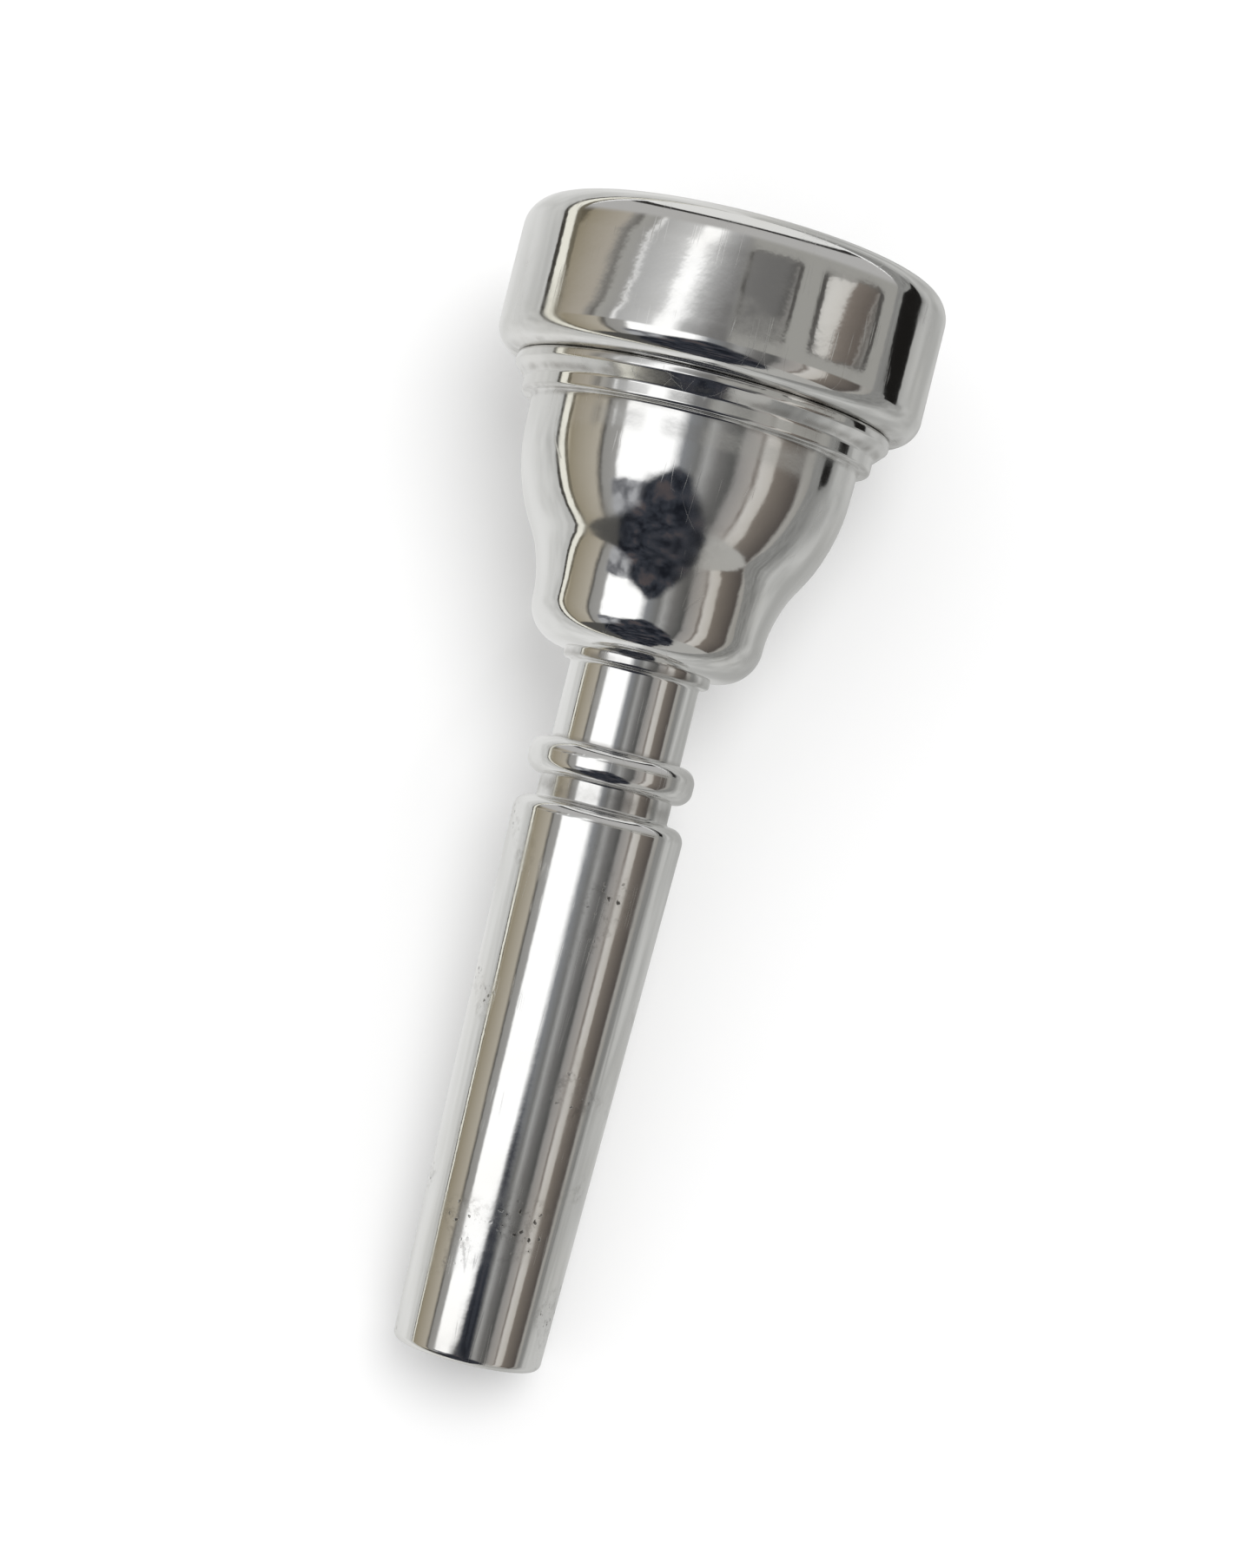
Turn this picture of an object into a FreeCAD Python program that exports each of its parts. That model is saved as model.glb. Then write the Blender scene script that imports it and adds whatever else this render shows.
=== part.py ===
# A horn mouthpiece of the screw-together kind: a rim, a cup and a shank, each
# turned from brass, with a rubber seal where they meet. Millimetres.
#
# Every piece is turned about one bore. In its own body the bore is the Y axis,
# and a station is the distance along it from the plane of the rim's crown. The
# placements then lay the mouthpiece down: the bore along Y, the rim facing -Y,
# the origin under the middle of its length and +Z up.
import FreeCAD, Part
import math
import os
import re
import Sketcher

SIZES = (
    # the cup mouth and the rim around it
    ("bowl_diameter", 17.5, "mouth of the cup, inside the rim"),
    ("rim_face_width", 5.33, "width of the face that the lips rest on"),
    ("rim_height", 10.1, "crown of the rim to its underside"),
    ("rim_crown_round", 2.0, "outer edge of the crown"),
    ("rim_bite_round", 1.5, "inner edge of the crown"),
    ("rim_under_round", 1.7, "lower edge of the rim"),
    ("rim_ledge_depth", 3.0, "crown to the ledge above the spigot"),
    ("rim_relief", 0.9, "plain bore between the ledge and the thread"),
    # the spigot of the cup that the rim screws onto
    ("spigot_wall", 2.0, "spigot, from the bowl to the thread root"),
    ("rim_thread_pitch", 1.0, "thread between rim and cup"),
    ("rim_thread_depth", 0.45, "thread between rim and cup"),
    ("rim_seal_section", 1.0, "radial room for the rim's seal"),
    ("rim_seal_land", 2.0, "plain land under the seal"),
    ("rim_gland_width", 1.3, "groove that holds the rim's seal"),
    ("rim_pilot_length", 0.7, "plain bore below the rim's seal"),
    ("land_step", 0.1, "land above the crest of the rim's thread"),
    # the cup, from the seat of the rim down
    ("upper_bead_step", 1.15, "upper bead, out from the land"),
    ("upper_bead_length", 0.65, "upper bead"),
    ("bead_slope_length", 0.85, "slope between the two beads"),
    ("lower_bead_step", 0.75, "lower bead, out from the cup's side"),
    ("lower_bead_length", 0.95, "lower bead"),
    ("bead_round", 0.25, "edges of the beads"),
    ("cup_wall", 2.13, "side of the cup, out from its mouth"),
    ("cup_side_length", 5.3, "side of the cup, below the beads"),
    ("cup_side_draft", 0.18, "how much the side narrows"),
    ("cup_shoulder_round", 11.0, "side of the cup into its cone"),
    ("cup_cone_length", 5.12, "cone below the side"),
    ("knob_step", 3.4, "knob, out from the neck"),
    ("knob_length", 4.96, "knob"),
    ("knob_top_round", 7.7, "cone into the knob"),
    ("knob_under_round", 2.7, "lower edge of the knob"),
    ("neck_collar_step", 0.58, "small collar under the knob"),
    ("neck_collar_length", 0.62, "small collar under the knob"),
    ("neck_length", 5.2, "neck"),
    ("neck_wall", 0.65, "neck, out from the seal's bore"),
    ("bowl_draft", 0.55, "how much the bowl narrows above its curve"),
    ("bowl_side_depth", 10.0, "crown to the curve of the bowl"),
    ("bowl_depth", 18.5, "crown to the throat"),
    ("bowl_round", 6.0, "curve of the bowl"),
    ("throat_round", 2.0, "bowl into the throat"),
    ("throat_diameter", 4.2, "throat"),
    # the joint between cup and shank
    ("tenon_wall", 0.94, "tenon, from the throat to the thread root"),
    ("tenon_length", 6.65, "tenon, from its end to the ring"),
    ("tenon_relief", 0.6, "plain bore above the neck's thread"),
    ("shank_thread_pitch", 0.75, "thread between cup and shank"),
    ("shank_thread_depth", 0.36, "thread between cup and shank"),
    ("shank_seal_section", 0.58, "radial room for the shank's seal"),
    ("shank_gland_width", 1.0, "groove that holds the shank's seal"),
    ("shank_pilot_length", 0.55, "plain tenon on each side of the seal"),
    ("seal_bore_step", 0.09, "seal's bore, out from the thread root"),
    # the shank
    ("ring_step", 1.19, "ring, out from the neck"),
    ("ring_length", 2.5, "ring"),
    ("ring_round", 1.05, "edges of the ring"),
    ("groove_step", 0.08, "groove below the ring, out from the neck"),
    ("groove_length", 1.45, "groove below the ring"),
    ("groove_round", 0.2, "corners of the groove"),
    ("shank_step", 1.36, "top of the shank, out from the neck"),
    ("shank_top_round", 1.0, "top edge of the shank"),
    ("shank_length", 36.1, "taper that enters the instrument"),
    ("tip_bore_diameter", 8.1, "backbore at the tip"),
    ("tip_wall", 0.8, "wall at the tip"),
    ("tip_round", 0.5, "outer edge of the tip"),
    ("backbore_knee_depth", 52.0, "crown to the slower part of the backbore"),
    ("backbore_knee_diameter", 6.5, "backbore at that place"),
    # fits
    ("flank_slope", 0.577, "tangent of the thread's flank angle"),
    ("thread_crest", 0.14, "crest of a thread, as a share of its pitch"),
    ("thread_gap", 0.08, "clearance between two threads"),
    ("pilot_gap", 0.06, "radial clearance of a plain fit"),
    ("seal_gap", 0.02, "clearance round a seal"),
    ("end_gap", 0.1, "clearance at the end of a spigot or tenon"),
    ("cutter_excess", 0.25, "how far a thread cutter stands clear"),
)

# Radii, then stations from the crown, that follow from the sizes.
DERIVED = {
    "bowl_radius": "bowl_diameter / 2",
    "rim_radius": "bowl_radius + rim_face_width",
    "rim_thread_root": "bowl_radius + spigot_wall",
    "rim_thread_crest": "rim_thread_root + rim_thread_depth",
    "rim_land_radius": "rim_thread_crest + land_step",
    "rim_gland_radius": "rim_land_radius + rim_seal_section",
    "upper_bead_radius": "rim_land_radius + upper_bead_step",
    "cup_radius": "bowl_radius + cup_wall",
    "lower_bead_radius": "cup_radius + lower_bead_step",
    "throat_radius": "throat_diameter / 2",
    "shank_thread_root": "throat_radius + tenon_wall",
    "shank_thread_crest": "shank_thread_root + shank_thread_depth",
    "seal_bore_radius": "shank_thread_crest + thread_gap + seal_bore_step",
    "pilot_radius": "seal_bore_radius - pilot_gap",
    "shank_gland_radius": "seal_bore_radius - shank_seal_section",
    "neck_radius": "seal_bore_radius + neck_wall",
    "knob_radius": "neck_radius + knob_step",
    "groove_radius": "neck_radius + groove_step",
    "ring_radius": "neck_radius + ring_step",
    "shank_top_radius": "neck_radius + shank_step",
    "tip_bore_radius": "tip_bore_diameter / 2",
    "tip_radius": "tip_bore_radius + tip_wall",
    "spigot_end": "rim_ledge_depth + end_gap",
    "rim_gland_start": "rim_height - rim_pilot_length - rim_gland_width",
    "land_start": "rim_height - rim_seal_land",
    "upper_bead_end": "rim_height + upper_bead_length",
    "lower_bead_start": "upper_bead_end + bead_slope_length",
    "lower_bead_end": "lower_bead_start + lower_bead_length",
    "cup_side_end": "lower_bead_end + cup_side_length",
    "knob_start": "cup_side_end + cup_cone_length",
    "knob_end": "knob_start + knob_length",
    "neck_start": "knob_end + neck_collar_length",
    "neck_end": "neck_start + neck_length",
    "tenon_end": "neck_end - tenon_length",
    "tenon_bore_end": "tenon_end - end_gap",
    "shank_gland_end": "neck_end - shank_pilot_length",
    "shank_gland_start": "shank_gland_end - shank_gland_width",
    "pilot_start": "shank_gland_start - shank_pilot_length",
    "ring_end": "neck_end + ring_length",
    "shank_start": "ring_end + groove_length",
    "overall_length": "shank_start + shank_length",
}

doc = FreeCAD.newDocument("mouthpiece")
sheet = doc.addObject("Spreadsheet::Sheet", "Sizes")
for row, (alias, value, meaning) in enumerate(SIZES, start=1):
    sheet.set(f"A{row}", meaning)
    sheet.set(f"B{row}", str(value))
    sheet.setAlias(f"B{row}", alias)
doc.recompute()


def formula(text):
    """The expression with every name traced back to cells of the sheet."""
    def trace(match):
        name = match.group(0)
        return f"({formula(DERIVED[name])})" if name in DERIVED else f"Sizes.{name}"
    return re.sub(r"[a-z_]+", trace, text)


def number(text):
    """The expression's present value."""
    return float(sheet.evalExpression(formula(text)))


def lay_down(piece, station="0"):
    """Bind a piece's place: bore along Y at the height of the rim's radius."""
    piece.setExpression(".Placement.Base.y", formula(f"{station} - overall_length / 2"))
    piece.setExpression(".Placement.Base.z", formula("rim_radius"))


class Outline:
    """A closed, fully constrained sketch of (radius, station[, rounding]) corners."""

    def __init__(self, body, name, corners):
        self.sketch = body.newObject("Sketcher::SketchObject", name)
        planes = body.Origin.OriginFeatures
        plane = next(item for item in planes if item.Role == "XY_Plane")
        self.sketch.AttachmentSupport = [(plane, "")]
        self.sketch.MapMode = "FlatFace"
        self.corners = [tuple(corner) + (None,) * (3 - len(corner)) for corner in corners]
        self.places = [
            FreeCAD.Vector(number(radius), number(station), 0)
            for radius, station, _ in self.corners
        ]
        self.draw()

    def draw(self):
        count = len(self.corners)
        ends = [self.corner_ends(index) for index in range(count)]
        lines = [
            self.sketch.addGeometry(Part.LineSegment(ends[i][1], ends[(i + 1) % count][0]))
            for i in range(count)
        ]
        for index, (radius, station, rounding) in enumerate(self.corners):
            before, after = lines[index - 1], lines[index]
            if rounding is None:
                self.constrain("Coincident", before, 2, after, 1)
                self.fix(index, after, 1)
            else:
                self.round_corner(index, before, after, ends[index])

    def corner_ends(self, index):
        """Where the lines on each side of a corner stop."""
        here, rounding = self.places[index], self.corners[index][2]
        if rounding is None:
            return here, here
        back = (self.places[index - 1] - here).normalize()
        ahead = (self.places[(index + 1) % len(self.places)] - here).normalize()
        reach = number(rounding) / math.tan(back.getAngle(ahead) / 2)
        return here + back * reach, here + ahead * reach

    def round_corner(self, index, before, after, ends):
        here, rounding = self.places[index], self.corners[index][2]
        start, finish = ends
        halfway = ((start + finish) * 0.5 - here).normalize()
        radius = number(rounding)
        centre = here + halfway * math.hypot(radius, (start - here).Length)
        turn = (start - here).cross(finish - here).z
        if turn > 0:
            start, finish = finish, start
        first = math.atan2(start.y - centre.y, start.x - centre.x)
        last = math.atan2(finish.y - centre.y, finish.x - centre.x)
        circle = Part.Circle(centre, FreeCAD.Vector(0, 0, 1), radius)
        arc = self.sketch.addGeometry(Part.ArcOfCircle(circle, first, last))
        corner = self.sketch.addGeometry(Part.Point(here))
        self.sketch.setConstruction(corner, True)
        self.constrain("PointOnObject", corner, 1, before)
        self.constrain("PointOnObject", corner, 1, after)
        self.constrain("Tangent", before, 2, arc, 2 if turn > 0 else 1)
        self.constrain("Tangent", after, 1, arc, 1 if turn > 0 else 2)
        self.drive(f"round_{index}", rounding, "Radius", arc, radius)
        self.fix(index, corner, 1)

    def fix(self, index, geometry, point):
        """Drive one corner's radius and station from the sheet."""
        radius, station, _ = self.corners[index]
        here = self.places[index]
        self.drive(f"radius_{index}", radius, "DistanceX", -1, 1, geometry, point, here.x)
        if station == "0":
            self.constrain("PointOnObject", geometry, point, -1)
        else:
            self.drive(f"station_{index}", station, "DistanceY", -1, 1, geometry, point, here.y)

    def constrain(self, *terms):
        return self.sketch.addConstraint(Sketcher.Constraint(*terms))

    def drive(self, name, text, *terms):
        self.sketch.renameConstraint(self.constrain(*terms), name)
        self.sketch.setExpression(f"Constraints.{name}", formula(text))


def turned(name, corners):
    """A body turned about the bore from one outline."""
    body = doc.addObject("PartDesign::Body", name)
    body.Label = name
    profile = Outline(body, f"{name}_outline", corners)
    turning = body.newObject("PartDesign::Revolution", f"{name}_turning")
    turning.Profile = profile.sketch
    turning.ReferenceAxis = (profile.sketch, ["V_Axis"])
    turning.Angle = 360
    lay_down(body)
    doc.recompute()
    return body


def cut_thread(body, kind, side, start, turns_end):
    """Cut one right-hand helical groove, from station start to turns_end.

    The ridge that stands on the spigot or tenon has a flat crest. The groove in
    the bore around it has the same flanks, set back by the thread's gap.
    """
    pitch, depth = f"{kind}_thread_pitch", f"{kind}_thread_depth"
    crest = f"thread_crest * {pitch}"
    if side == "outer":
        floor, mouth = f"{kind}_thread_root", f"{kind}_thread_crest"
        mouth_half = f"({pitch} - {crest}) / 2"
        beyond = f"{mouth} + cutter_excess"
    else:
        floor = f"{kind}_thread_crest + thread_gap"
        mouth = f"{kind}_thread_root + thread_gap"
        mouth_half = f"({crest}) / 2 + flank_slope * ({depth} - thread_gap) + thread_gap"
        beyond = f"{mouth} - cutter_excess"
    floor_half = f"{mouth_half} - flank_slope * {depth}"
    section = Outline(body, f"{body.Label}_{kind}_thread_section", (
        (floor, f"{start} - ({floor_half})"),
        (mouth, f"{start} - ({mouth_half})"),
        (beyond, f"{start} - ({mouth_half})"),
        (beyond, f"{start} + {mouth_half}"),
        (mouth, f"{start} + {mouth_half}"),
        (floor, f"{start} + {floor_half}"),
    ))
    volume_before = body.Shape.Volume
    thread = body.newObject("PartDesign::SubtractiveHelix", f"{body.Label}_{kind}_thread")
    thread.Profile = section.sketch
    thread.ReferenceAxis = (section.sketch, ["V_Axis"])
    thread.Mode = 0
    thread.setExpression("Pitch", formula(pitch))
    thread.setExpression("Height", formula(f"{turns_end} - ({start})"))
    thread.LeftHanded = False
    thread.Reversed = False
    doc.recompute()
    if body.Shape.Volume > volume_before - number(f"{depth} * {pitch}"):
        raise RuntimeError(f"{thread.Name} cut nothing")


def make_rim():
    """The rim: crown, female thread, seal gland and a plain bore at its foot."""
    rim = turned("rim", (
        ("bowl_radius", "0", "rim_bite_round"),
        ("rim_radius", "0", "rim_crown_round"),
        ("rim_radius", "rim_height", "rim_under_round"),
        ("rim_land_radius + pilot_gap", "rim_height"),
        ("rim_land_radius + pilot_gap", "rim_height - rim_pilot_length"),
        ("rim_gland_radius", "rim_height - rim_pilot_length"),
        ("rim_gland_radius", "rim_gland_start"),
        ("rim_thread_root + thread_gap", "rim_gland_start"),
        ("rim_thread_root + thread_gap", "rim_ledge_depth + rim_relief"),
        ("rim_land_radius", "rim_ledge_depth + rim_relief"),
        ("rim_land_radius", "rim_ledge_depth"),
        ("bowl_radius", "rim_ledge_depth"),
    ))
    cut_thread(rim, "rim", "inner", "rim_ledge_depth + rim_relief / 2",
               "rim_gland_start + rim_thread_pitch / 2")
    return rim


def make_cup():
    """The cup: spigot, beads, bowl, knob, throat and the threaded neck."""
    cup = turned("cup", (
        ("bowl_radius", "spigot_end"),
        ("rim_thread_crest", "spigot_end"),
        ("rim_thread_crest", "land_start - rim_relief"),
        ("rim_thread_root - end_gap", "land_start - rim_relief"),
        ("rim_thread_root - end_gap", "land_start"),
        ("rim_land_radius", "land_start"),
        ("rim_land_radius", "rim_height"),
        ("upper_bead_radius", "rim_height", "bead_round"),
        ("upper_bead_radius", "upper_bead_end", "bead_round"),
        ("lower_bead_radius", "lower_bead_start", "bead_round"),
        ("lower_bead_radius", "lower_bead_end", "bead_round"),
        ("cup_radius", "lower_bead_end", "bead_round"),
        ("cup_radius - cup_side_draft", "cup_side_end", "cup_shoulder_round"),
        ("knob_radius", "knob_start", "knob_top_round"),
        ("knob_radius", "knob_end", "knob_under_round"),
        ("neck_radius + neck_collar_step", "knob_end"),
        ("neck_radius + neck_collar_step", "neck_start", "bead_round"),
        ("neck_radius", "neck_start", "bead_round"),
        ("neck_radius", "neck_end"),
        ("seal_bore_radius", "neck_end"),
        ("seal_bore_radius", "pilot_start - end_gap"),
        ("shank_thread_root + thread_gap", "pilot_start - end_gap"),
        ("shank_thread_root + thread_gap", "tenon_bore_end + tenon_relief"),
        ("seal_bore_radius", "tenon_bore_end + tenon_relief"),
        ("seal_bore_radius", "tenon_bore_end"),
        ("throat_radius", "tenon_bore_end"),
        ("throat_radius", "bowl_depth", "throat_round"),
        ("bowl_radius - bowl_draft", "bowl_side_depth", "bowl_round"),
    ))
    cut_thread(cup, "rim", "outer", "rim_ledge_depth + rim_relief / 2 - 1.5 * rim_thread_pitch",
               "land_start - rim_relief / 2")
    cut_thread(cup, "shank", "inner", "tenon_bore_end + tenon_relief / 2",
               "pilot_start - end_gap + shank_thread_pitch / 2")
    return cup


def make_shank():
    """The shank: threaded tenon, seal gland, ring, groove, taper and backbore."""
    shank = turned("shank", (
        ("throat_radius", "tenon_end"),
        ("shank_thread_crest", "tenon_end"),
        ("shank_thread_crest", "pilot_start - tenon_relief"),
        ("shank_thread_root - end_gap", "pilot_start - tenon_relief"),
        ("shank_thread_root - end_gap", "pilot_start"),
        ("pilot_radius", "pilot_start"),
        ("pilot_radius", "shank_gland_start"),
        ("shank_gland_radius", "shank_gland_start"),
        ("shank_gland_radius", "shank_gland_end"),
        ("pilot_radius", "shank_gland_end"),
        ("pilot_radius", "neck_end"),
        ("ring_radius", "neck_end", "ring_round"),
        ("ring_radius", "ring_end", "ring_round"),
        ("groove_radius", "ring_end"),
        ("groove_radius", "shank_start", "groove_round"),
        ("shank_top_radius", "shank_start", "shank_top_round"),
        ("tip_radius", "overall_length", "tip_round"),
        ("tip_bore_radius", "overall_length"),
        ("backbore_knee_diameter / 2", "backbore_knee_depth"),
    ))
    cut_thread(shank, "shank", "outer",
               "tenon_bore_end + tenon_relief / 2 - 1.5 * shank_thread_pitch",
               "pilot_start - tenon_relief / 2")
    return shank


def make_seal(name, middle_radius, section, station):
    """A rubber ring, a hair smaller than the room that its groove leaves."""
    seal = doc.addObject("Part::Torus", name)
    seal.Label = name
    seal.setExpression("Radius1", formula(middle_radius))
    seal.setExpression("Radius2", formula(f"{section} / 2 - seal_gap"))
    seal.Placement.Rotation = FreeCAD.Rotation(FreeCAD.Vector(1, 0, 0), 90)
    lay_down(seal, station)
    return seal


pieces = [
    make_rim(),
    make_seal("rim_seal", "rim_land_radius + rim_seal_section / 2", "rim_seal_section",
              "rim_gland_start + rim_gland_width / 2"),
    make_cup(),
    make_seal("shank_seal", "seal_bore_radius - shank_seal_section / 2", "shank_seal_section",
              "shank_gland_start + shank_gland_width / 2"),
    make_shank(),
]
doc.recompute()

for item in doc.Objects:
    if "Invalid" in item.State or "Error" in item.State:
        raise RuntimeError(f"{item.Name} failed: {item.State}")
for piece in pieces:
    if piece.Shape.isNull() or not piece.Shape.isValid():
        raise RuntimeError(f"{piece.Label} has no valid shape")
    if len(piece.Shape.Solids) != 1:
        raise RuntimeError(f"{piece.Label} is not one solid")

os.makedirs("parts", exist_ok=True)
for piece in pieces:
    piece.Shape.exportStep(f"parts/{piece.Label}.step")
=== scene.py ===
# A horn mouthpiece: silver-plated brass, turned and mirror polished, lying on a pale table.
import math

import bmesh
import bpy
from mathutils import Matrix, Vector


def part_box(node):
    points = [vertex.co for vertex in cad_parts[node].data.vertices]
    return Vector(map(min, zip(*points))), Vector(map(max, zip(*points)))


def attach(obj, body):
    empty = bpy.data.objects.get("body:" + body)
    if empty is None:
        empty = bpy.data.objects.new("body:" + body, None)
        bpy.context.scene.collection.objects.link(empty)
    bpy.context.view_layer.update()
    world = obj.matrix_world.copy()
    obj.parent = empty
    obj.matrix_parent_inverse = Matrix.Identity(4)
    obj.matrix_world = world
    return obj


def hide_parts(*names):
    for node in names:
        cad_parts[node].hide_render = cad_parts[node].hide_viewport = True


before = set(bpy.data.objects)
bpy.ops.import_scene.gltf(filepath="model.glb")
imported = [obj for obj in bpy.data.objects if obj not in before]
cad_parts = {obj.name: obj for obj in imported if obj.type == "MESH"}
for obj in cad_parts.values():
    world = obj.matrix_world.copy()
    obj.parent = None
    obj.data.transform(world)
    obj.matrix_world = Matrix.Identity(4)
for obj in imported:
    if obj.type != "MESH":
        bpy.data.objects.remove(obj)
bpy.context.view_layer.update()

MM = 0.001
ROUND_STEPS = 256                # faces round a turned piece
THREAD_STEPS = 96                # faces round one turn of a thread
THREAD_FLANK = 0.577             # tangent of 30 degrees, half of a thread's 60
ROW_LENGTH = 1.0                 # mm, longest row of faces along the bore
CREASE = math.radians(24)        # a sharper edge than this stays an edge

rim_low, rim_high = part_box("rim")
cup_low, cup_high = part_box("cup")
shank_low, shank_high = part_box("shank")
CROWN = rim_low.y
BORE_HEIGHT = (rim_low.z + rim_high.z) / 2


def station(place):
    """Millimetres from the crown of the rim, along the bore."""
    return (place - CROWN) / MM


# Stations and radii of the metal, in mm, the way a turner would read them off.
SPIGOT_END = station(cup_low.y)
SEAT = station(rim_high.y)
NECK_END = station(cup_high.y)
TENON_END = station(shank_low.y)
TIP = station(shank_high.y)
RIM_RADIUS = (rim_high.x - rim_low.x) / 2 / MM
BEAD_RADIUS = (cup_high.x - cup_low.x) / 2 / MM
BORE_AXIS = (0, 1, 0)
EDGE_ROUND, CHAMFER = 0.25, 0.1
# The rim, and how it is screwed to the cup.
RIM_INNER_ROUND, RIM_OUTER_ROUND, RIM_UNDER_ROUND = 1.5, 2.0, 1.7
BOWL_RADIUS = 8.75
LEDGE = 3.0
LEDGE_RELIEF = LEDGE + 0.9
LAND_RADIUS, LAND_FIT, LAND_START = 11.3, 0.06, SEAT - 2.0
RIM_GLAND_DEPTH, RIM_GLAND_END = 1.0, SEAT - 0.7
RIM_BORE_RADIUS, SPIGOT_RADIUS, RIM_PITCH = 11.28, 10.75, 1.0
# The cup.
LOWER_BEAD_RADIUS, LOWER_BEAD_END = 11.63, SEAT + 2.45
KNOB_RADIUS, KNOB_END = 7.68, 27.93
COLLAR_RADIUS, COLLAR_END = 4.86, 28.55
NECK_RADIUS = 4.28
THROAT_RADIUS = 2.1
# How the shank is screwed into the neck.
SOCKET_FLOOR, SOCKET_RELIEF, SOCKET_RELIEF_RADIUS = 27.0, 27.6, 3.57
SOCKET_RADIUS, TENON_RADIUS, SHANK_PITCH, SHANK_THREAD_END = 3.5, 3.04, 0.75, 31.1
NECK_BORE_RADIUS, NECK_BORE_START = 3.63, 31.5
FIT_RADIUS, FIT_START = 3.57, 31.6
SHANK_GLAND_RADIUS, SHANK_GLAND_START, SHANK_GLAND_END = 3.05, 32.15, 33.2
# The shank.
RING_RADIUS, RING_ROUND, RING_END = 5.47, 1.05, NECK_END + 2.5
GROOVE_RADIUS, SHOULDER = 4.36, RING_END + 1.45
SHANK_RADIUS = 5.64
TIP_RADIUS, TIP_ROUND = 4.85, 0.5


def linear(hex_colour):
    """sRGB hex to the linear colour that a shader takes."""
    channels = [int(hex_colour[i:i + 2], 16) / 255 for i in (1, 3, 5)]
    curve = [c / 12.92 if c <= 0.04045 else ((c + 0.055) / 1.055) ** 2.4 for c in channels]
    return (*curve, 1.0)


# ---------------------------------------------------------------- shapes

def rounded_outline(bm, corners):
    """A closed wire through (radius, station, rounding) corners, with its corners rounded."""
    places = [Vector((radius * MM, CROWN + along * MM, BORE_HEIGHT)) for radius, along, _ in corners]
    verts = [bm.verts.new(place) for place in places]
    for index, vert in enumerate(verts):
        bm.edges.new((verts[index - 1], vert))
    for index, (_, _, rounding) in enumerate(corners):
        if not rounding:
            continue
        here = places[index]
        opening = (places[index - 1] - here).angle(places[(index + 1) % len(places)] - here)
        reach = rounding * MM / math.tan(opening / 2)
        steps = max(6, math.ceil((math.pi - opening) / math.radians(5)))
        bmesh.ops.bevel(bm, geom=[verts[index]], offset=reach, segments=steps, profile=0.5,
                        affect="VERTICES", material=-1, clamp_overlap=False)
    for edge in list(bm.edges):
        cuts = math.ceil(edge.calc_length() / (ROW_LENGTH * MM)) - 1
        if cuts > 0:
            bmesh.ops.subdivide_edges(bm, edges=[edge], cuts=cuts)


def add_thread(bm, root, crest, pitch, first, last):
    """A closed right-handed ridge round the bore, from root to crest."""
    turns = (last - first) / pitch
    steps = round(turns * THREAD_STEPS)
    foot = 0.33 * pitch
    top = foot - THREAD_FLANK * abs(crest - root)
    sunk = root - math.copysign(0.05, crest - root)
    section = [(sunk, -foot), (root, -foot), (crest, -top), (crest, top), (root, foot), (sunk, foot)]
    ridge = bmesh.new()
    verts = [ridge.verts.new((radius * MM, CROWN + (first + along) * MM, BORE_HEIGHT))
             for radius, along in section]
    face = ridge.faces.new(verts)
    bmesh.ops.spin(ridge, geom=[face, *face.verts, *face.edges], cent=(0, 0, BORE_HEIGHT),
                   axis=BORE_AXIS, dvec=(0, (last - first) * MM / steps, 0),
                   angle=2 * math.pi * turns, steps=steps)
    bmesh.ops.holes_fill(ridge, edges=[edge for edge in ridge.edges if edge.is_boundary])
    mesh = bpy.data.meshes.new("ridge")
    ridge.to_mesh(mesh)
    ridge.free()
    bm.from_mesh(mesh)
    bpy.data.meshes.remove(mesh)


def show(name, bm, materials):
    """The bmesh as an object of the scene."""
    mesh = bpy.data.meshes.new(name)
    bm.to_mesh(mesh)
    bm.free()
    for material in materials:
        mesh.materials.append(material)
    obj = bpy.data.objects.new(name, mesh)
    bpy.context.scene.collection.objects.link(obj)
    return obj


def turned(name, corners, finish_at, threads=()):
    """A metal piece turned about the bore, with finishes chosen by radius and station."""
    bm = bmesh.new()
    rounded_outline(bm, corners)
    bmesh.ops.spin(bm, geom=bm.verts[:] + bm.edges[:], cent=(0, 0, BORE_HEIGHT), axis=BORE_AXIS,
                   angle=2 * math.pi, steps=ROUND_STEPS, use_merge=True)
    for thread in threads:
        add_thread(bm, *thread)
    bmesh.ops.recalc_face_normals(bm, faces=bm.faces)
    for face in bm.faces:
        face.smooth = True
        middle = face.calc_center_median()
        radius = math.hypot(middle.x, middle.z - BORE_HEIGHT) / MM
        face.material_index = finish_at(radius, station(middle.y))
    for edge in bm.edges:
        edge.smooth = edge.calc_face_angle(0) < CREASE
    piece = show(name, bm, METALS)
    evened = piece.modifiers.new("even shading", "WEIGHTED_NORMAL")
    evened.keep_sharp = True
    return piece


# ---------------------------------------------------------------- finishes

SMOOTH = {"interpolation_type": "SMOOTHSTEP"}       # a range that eases in and out
RGBA = {"data_type": "RGBA"}                        # a mix of two colours: inputs 6 and 7


def add(tree, kind, inputs=(), **settings):
    """One node, with its inputs in a dict or in order: values, hex colours, nodes or their outputs."""
    node = tree.nodes.new("ShaderNode" + kind)
    for name, setting in settings.items():
        setattr(node, name, setting)
    for key, source in inputs.items() if isinstance(inputs, dict) else enumerate(inputs):
        if isinstance(source, bpy.types.Node):
            source = next(output for output in source.outputs if output.enabled)
        if isinstance(source, bpy.types.NodeSocket):
            tree.links.new(source, node.inputs[key])
        else:
            node.inputs[key].default_value = linear(source) if isinstance(source, str) else source
    return node


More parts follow.
